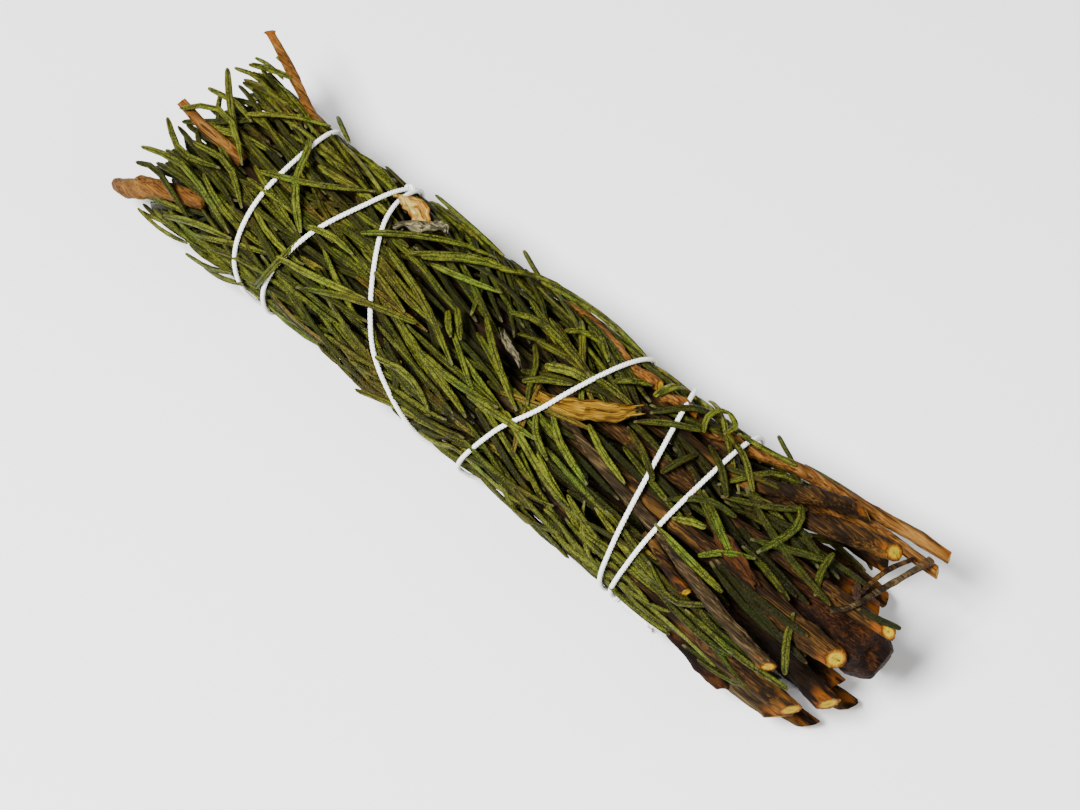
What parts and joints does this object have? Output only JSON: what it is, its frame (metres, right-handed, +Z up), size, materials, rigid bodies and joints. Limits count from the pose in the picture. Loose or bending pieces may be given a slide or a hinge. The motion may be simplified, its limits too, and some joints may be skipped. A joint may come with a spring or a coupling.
{
  "type": "rosemary bundle",
  "caption": "Bundle of rosemary sprigs lying on its side, leafy at one end and cut bare stems at the other, wound and tied with thin cotton string.",
  "frame": {"origin": "centre of the bundle's bounding box at the surface it lies on", "axes": "+X along the bundle from the leafy tips to the cut stems, +Z up"},
  "size_m": [0.195, 0.0481, 0.0387],
  "materials": {
    "rosemary_leaf": "matt olive green leaf",
    "stem_bark": "rough brown bark",
    "cotton_string": "twisted off-white cotton"
  },
  "bodies": {
    "root": {"sprig_01_leaves": "rosemary_leaf", "sprig_02_leaves": "rosemary_leaf", "sprig_03_leaves": "rosemary_leaf", "sprig_04_leaves": "rosemary_leaf", "sprig_05_leaves": "rosemary_leaf", "sprig_06_leaves": "rosemary_leaf", "sprig_07_leaves": "rosemary_leaf", "sprig_08_leaves": "rosemary_leaf", "sprig_09_leaves": "rosemary_leaf", "sprig_10_leaves": "rosemary_leaf", "sprig_11_leaves": "rosemary_leaf", "sprig_12_leaves": "rosemary_leaf", "sprig_13_leaves": "rosemary_leaf", "sprig_14_leaves": "rosemary_leaf", "inner_sprig_1_leaves": "rosemary_leaf", "inner_sprig_2_leaves": "rosemary_leaf", "inner_sprig_3_leaves": "rosemary_leaf", "inner_sprig_4_leaves": "rosemary_leaf", "inner_sprig_5_leaves": "rosemary_leaf", "inner_sprig_6_leaves": "rosemary_leaf", "middle_sprig_leaves": "rosemary_leaf", "sprig_01_stem": "stem_bark", "sprig_02_stem": "stem_bark", "sprig_03_stem": "stem_bark", "sprig_04_stem": "stem_bark", "sprig_05_stem": "stem_bark", "sprig_06_stem": "stem_bark", "sprig_07_stem": "stem_bark", "sprig_08_stem": "stem_bark", "sprig_09_stem": "stem_bark", "sprig_10_stem": "stem_bark", "sprig_11_stem": "stem_bark", "sprig_12_stem": "stem_bark", "sprig_13_stem": "stem_bark", "sprig_14_stem": "stem_bark", "inner_sprig_1_stem": "stem_bark", "inner_sprig_2_stem": "stem_bark", "inner_sprig_3_stem": "stem_bark", "inner_sprig_4_stem": "stem_bark", "inner_sprig_5_stem": "stem_bark", "inner_sprig_6_stem": "stem_bark", "middle_sprig_stem": "stem_bark", "tip_twig_thick": "stem_bark", "tip_twig_long": "stem_bark", "tip_twig_short": "stem_bark", "tip_twig_back": "stem_bark", "side_twig": "stem_bark", "wood_chip": "stem_bark", "torn_bark": "stem_bark", "string": "cotton_string"}
  },
  "joints": []
}
